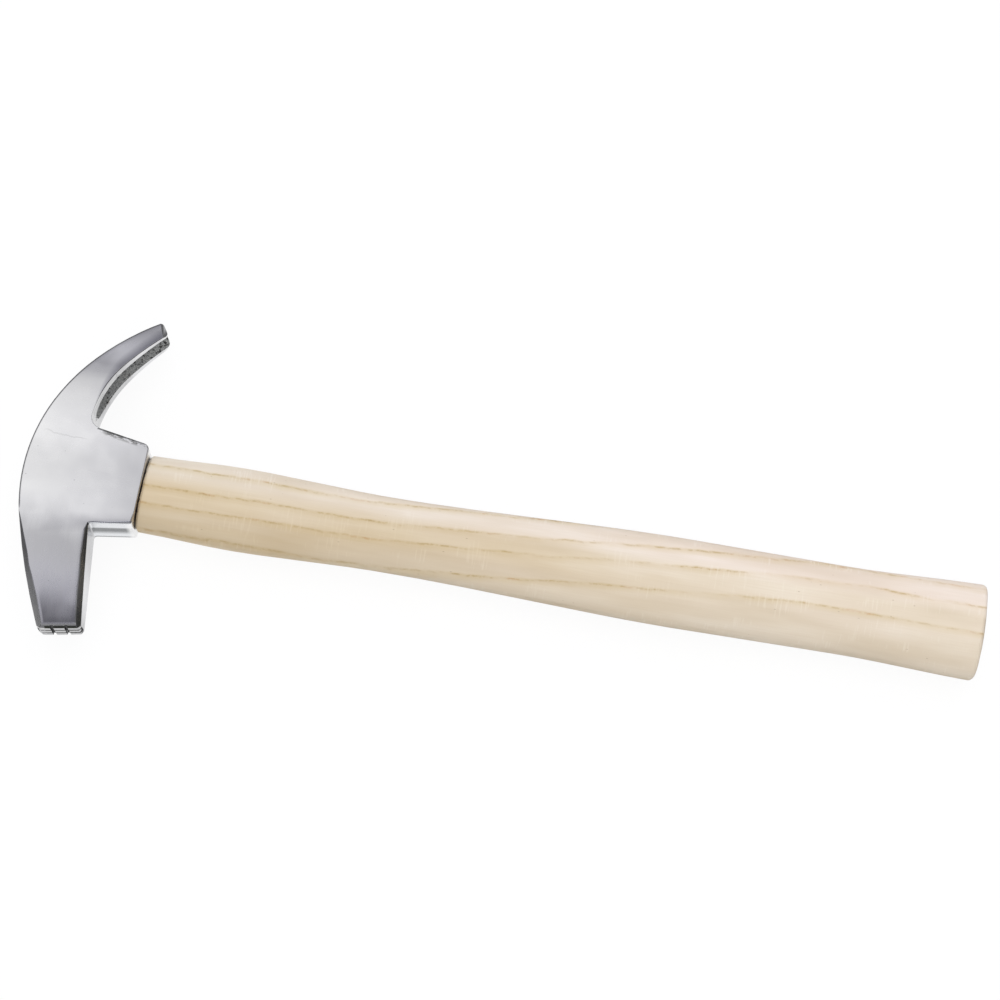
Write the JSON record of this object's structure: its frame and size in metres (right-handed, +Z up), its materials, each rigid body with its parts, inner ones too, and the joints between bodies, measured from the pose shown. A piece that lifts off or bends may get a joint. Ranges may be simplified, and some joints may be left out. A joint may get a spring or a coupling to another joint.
{
  "type": "driving hammer",
  "caption": "Farrier's driving hammer: a forged head with a long split claw, a slim octagonal poll with a scored face, and a wedged ash handle.",
  "frame": {"origin": "on the surface that the hammer lies on, under the middle of the eye, where the lower cheek rests", "axes": "+X runs along the handle from the crown of the head to the butt, +Y from the striking face to the claw, and +Z up, across the cheeks"},
  "size_m": [0.3321, 0.1114, 0.0254],
  "materials": {
    "forged_steel": "satin ground cheeks, darker forged surfaces in the slot and under the boss",
    "ash": "smooth, thin matt varnish",
    "wedge_wood": "sawn end grain",
    "wedge_steel": "dark rolled steel"
  },
  "bodies": {
    "root": {"head": "forged_steel", "handle": "ash", "wooden_wedge": "wedge_wood", "steel_wedge_claw_side": "wedge_steel", "steel_wedge_poll_side": "wedge_steel"}
  },
  "joints": []
}
